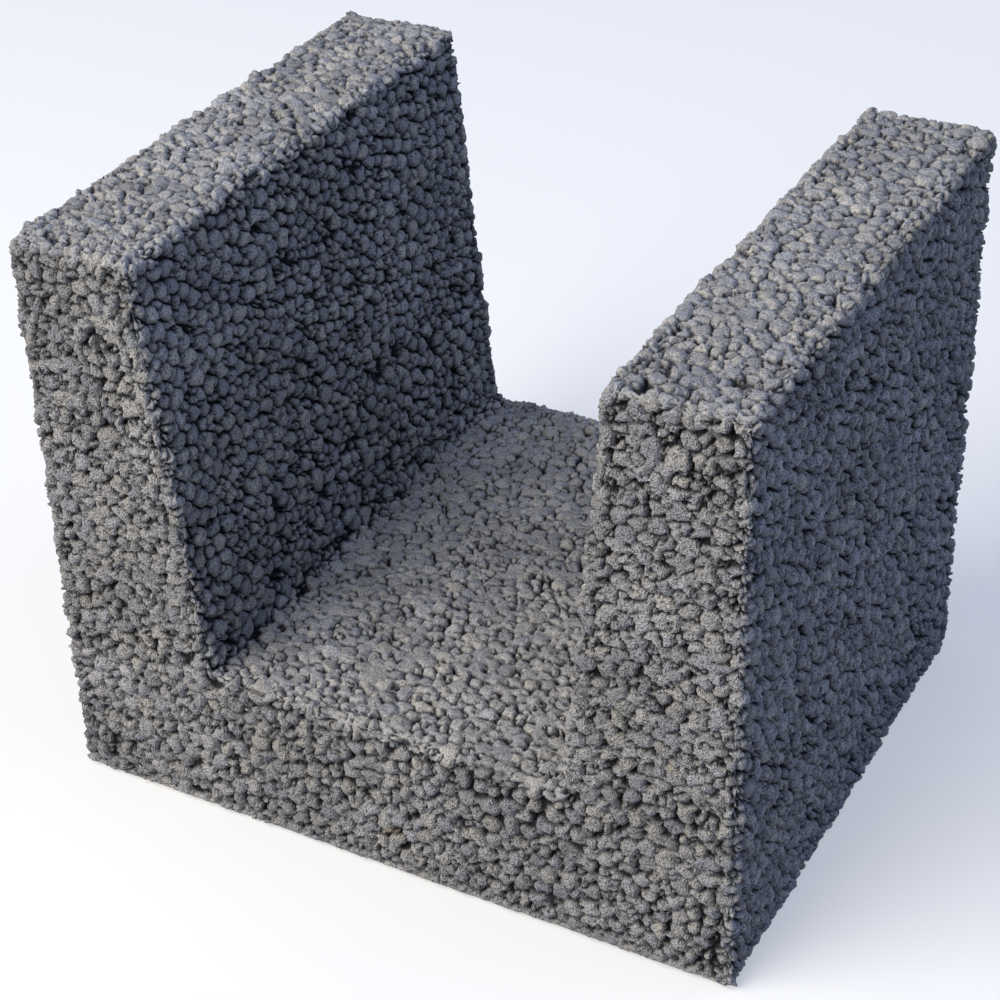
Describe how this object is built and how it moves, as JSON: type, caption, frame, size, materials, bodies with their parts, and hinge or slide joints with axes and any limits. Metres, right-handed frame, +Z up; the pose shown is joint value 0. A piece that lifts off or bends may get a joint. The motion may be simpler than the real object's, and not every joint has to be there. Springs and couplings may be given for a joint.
{
  "type": "concrete channel block",
  "caption": "U-shaped lightweight concrete block with a flat base and two tapering arms beside an open channel.",
  "frame": {"origin": "middle of the flat base, on the surface that the block stands on", "axes": "+X across the channel to the right arm, +Y along the channel, +Z up, out of the channel's mouth"},
  "size_m": [0.3, 0.245, 0.252],
  "materials": {
    "concrete": "rough open-pored face of cement-coated round grains, 4 to 8 mm"
  },
  "bodies": {
    "root": {"u_block": "concrete"}
  },
  "joints": []
}
